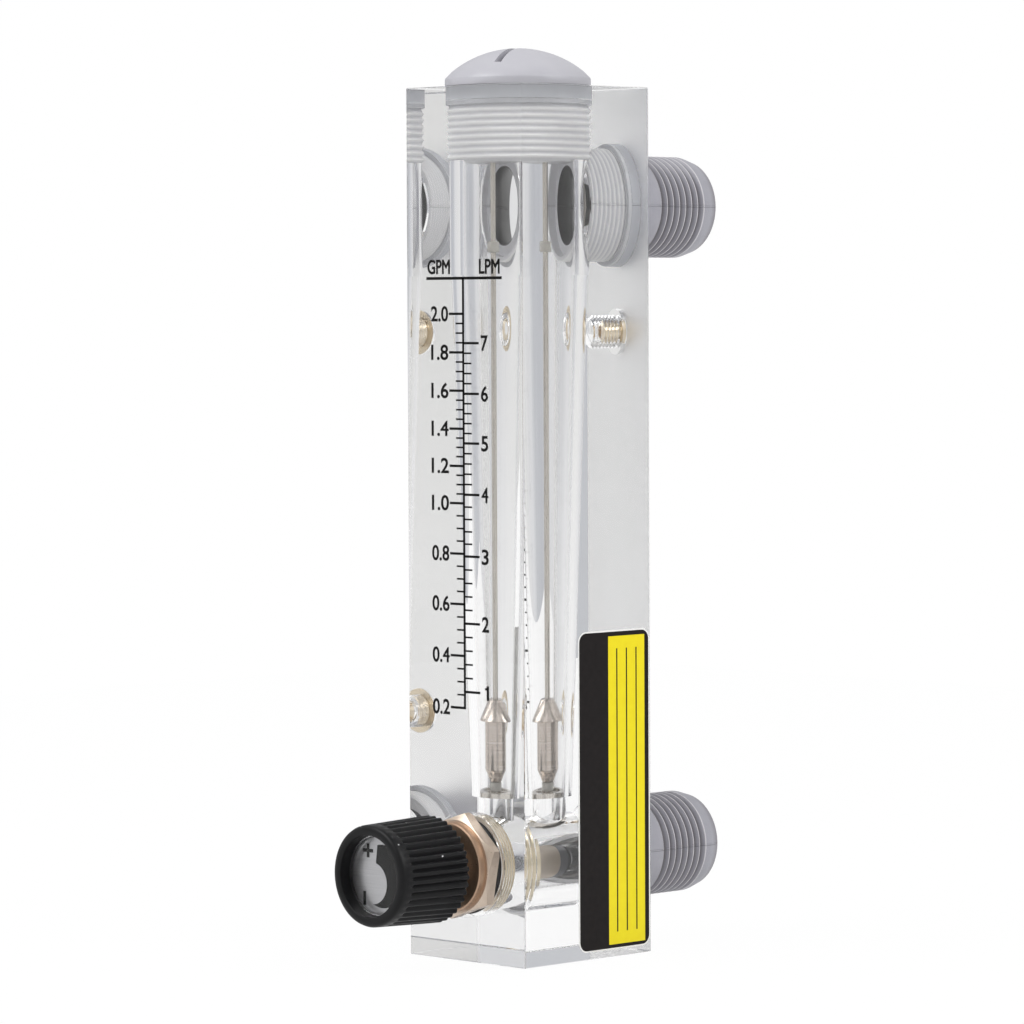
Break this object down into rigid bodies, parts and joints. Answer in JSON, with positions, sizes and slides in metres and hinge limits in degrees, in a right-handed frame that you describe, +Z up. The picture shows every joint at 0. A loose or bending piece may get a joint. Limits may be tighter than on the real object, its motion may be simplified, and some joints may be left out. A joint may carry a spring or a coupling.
{
  "type": "rotameter",
  "caption": "Clear block flow meter with a guided float in a tapered bore, a scale, threaded pipe nipples at the back and a ribbed valve knob.",
  "frame": {"origin": "middle of the block's bottom face", "axes": "+Z up along the bore, +Y out of the pipe face, +X along the block's width"},
  "size_m": [0.0332, 0.0908, 0.183],
  "materials": {
    "clear_acrylic": "polished, clear",
    "grey_pvc": "moulded, satin",
    "grey_rubber": "matt",
    "stainless": "turned",
    "silicone": "translucent",
    "brass": "turned",
    "nickel_brass": "nickel plated",
    "black_rubber": "matt",
    "black_ink": "printed",
    "label_film": "printed film",
    "black_plastic": "moulded",
    "steel_screw": "plain",
    "aluminium": "brushed",
    "clear_lens": "polished, clear"
  },
  "bodies": {
    "meter_body": {"flow_body": "clear_acrylic", "top_plug": "grey_pvc", "top_plug_seal": "grey_rubber", "guide_rod": "stainless", "rod_holder": "stainless", "lower_float_stop": "silicone", "upper_float_stop": "silicone", "inlet_fitting": "grey_pvc", "inlet_seal": "grey_rubber", "outlet_fitting": "grey_pvc", "outlet_seal": "grey_rubber", "lower_panel_insert": "brass", "upper_panel_insert": "brass", "valve_bonnet": "nickel_brass", "bonnet_seal": "black_rubber", "scale_print": "black_ink", "side_label": "label_film"},
    "float_body": {"metering_float": "stainless"},
    "stem_slider": {"stem_seal": "black_rubber"},
    "knob_body": {"valve_stem": "nickel_brass", "seat_washer": "black_rubber", "knob": "black_plastic", "knob_screw": "steel_screw", "knob_dial": "aluminium", "knob_lens": "clear_lens"}
  },
  "joints": [
    {"name": "float_slide", "type": "slide", "parent": "meter_body", "child": "float_body", "axis": [0, 0, 1], "range_m": [0, 0.09]},
    {"name": "stem_travel", "type": "slide", "parent": "meter_body", "child": "stem_slider", "axis": [0, 1, 0], "range_m": [-0.004, 0.00125]},
    {"name": "knob_turn", "type": "hinge", "parent": "stem_slider", "child": "knob_body", "pos_m": [0, -0.03, 0.0194], "axis": [0, 1, 0], "range_deg": [-1441, 451]}
  ],
  "couplings": [
    {"joint": "knob_turn", "follows": "stem_travel", "rad_per_m": 6283.2}
  ]
}
